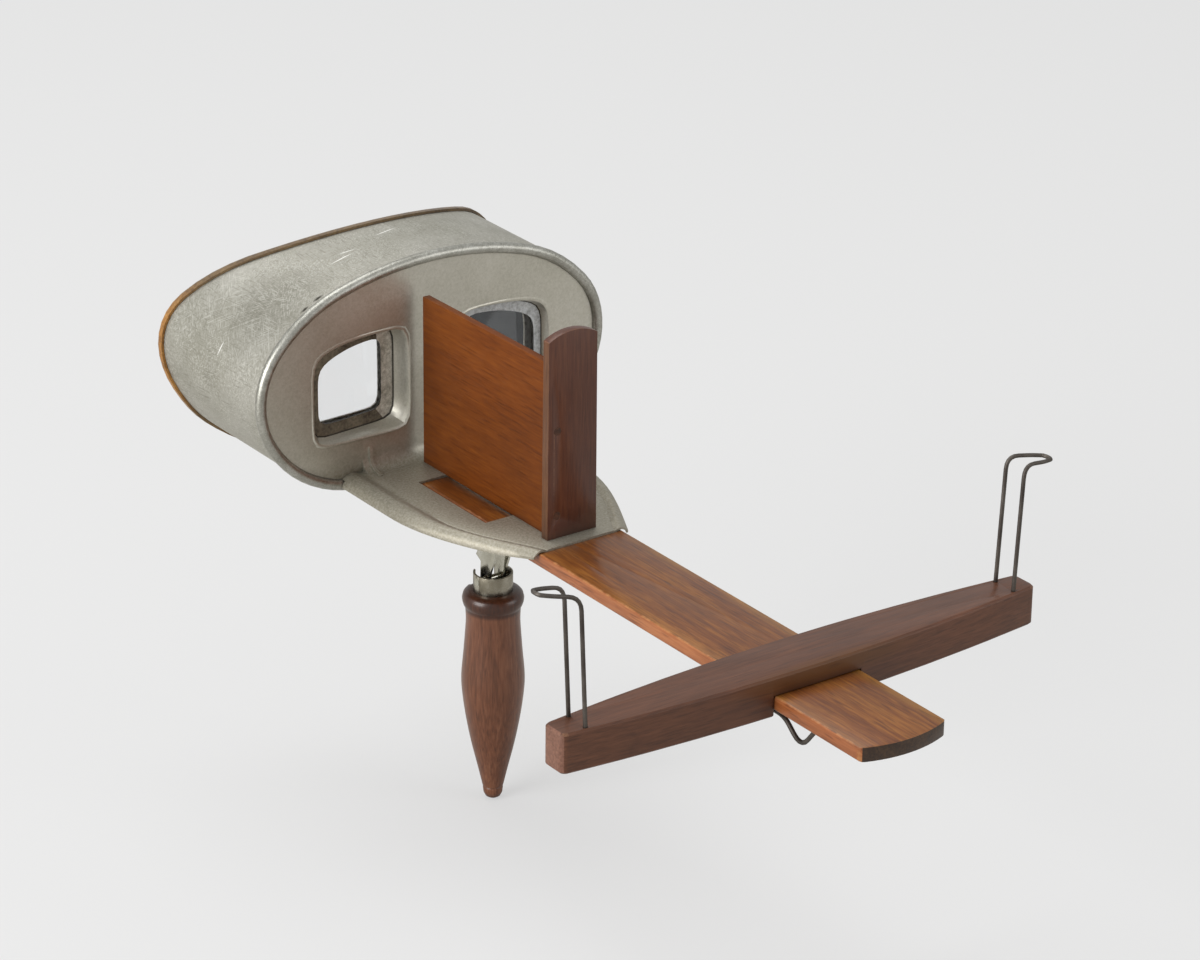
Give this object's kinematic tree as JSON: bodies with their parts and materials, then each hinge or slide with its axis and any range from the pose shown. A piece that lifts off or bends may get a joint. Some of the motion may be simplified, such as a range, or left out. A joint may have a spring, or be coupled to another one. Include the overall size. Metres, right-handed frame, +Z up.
{
  "type": "hand stereoscope",
  "caption": "Folding hand stereoscope: metal eye hood and lens board on a wooden bed, sliding card rest with wire holders, and a turned handle on a hinged bracket.",
  "frame": {"origin": "underside of the bed, on its centre line, below the middle of the front board's thickness", "axes": "+X to the viewer's left, across the face; +Y from the card towards the eyes, along the bed; +Z up, away from the handle"},
  "size_m": [0.1986, 0.3212, 0.1907],
  "materials": {
    "bed_wood": "worn varnish",
    "rest_wood": "worn varnish",
    "septum_wood": "varnish",
    "front_wood": "varnish",
    "handle_wood": "turned, varnish",
    "hood_metal": "dull, scratched",
    "board_metal": "satin",
    "frame_metal": "dull",
    "binding": "worn short pile",
    "lens_glass": "polished",
    "nail_steel": "dull",
    "wire_steel": "dark, oxidised",
    "bracket_nickel": "dull nickel plate",
    "ferrule_nickel": "tarnished nickel plate"
  },
  "bodies": {
    "viewer": {"bed": "bed_wood", "lens_board": "board_metal", "hood_shell": "hood_metal", "hood_binding": "binding", "left_lens": "lens_glass", "right_lens": "lens_glass", "left_lens_frame": "frame_metal", "right_lens_frame": "frame_metal", "septum": "septum_wood", "septum_nails": "nail_steel", "front_board": "front_wood", "front_board_nails": "nail_steel", "handle_bracket": "bracket_nickel", "bracket_screws": "bracket_nickel"},
    "slide": {"card_rest": "rest_wood", "left_card_wire": "wire_steel", "right_card_wire": "wire_steel", "slide_spring": "wire_steel"},
    "handle": {"handle_grip": "handle_wood", "ferrule": "ferrule_nickel", "hinge_pin": "bracket_nickel", "handle_screw": "nail_steel"}
  },
  "joints": [
    {"name": "card_slide", "type": "slide", "parent": "viewer", "child": "slide", "axis": [0, 1, 0], "range_m": [-0.025, 0.1]},
    {"name": "handle_fold", "type": "hinge", "parent": "viewer", "child": "handle", "pos_m": [0, 0.0439, -0.0278], "axis": [1, 0, 0], "range_deg": [0, 90]}
  ]
}
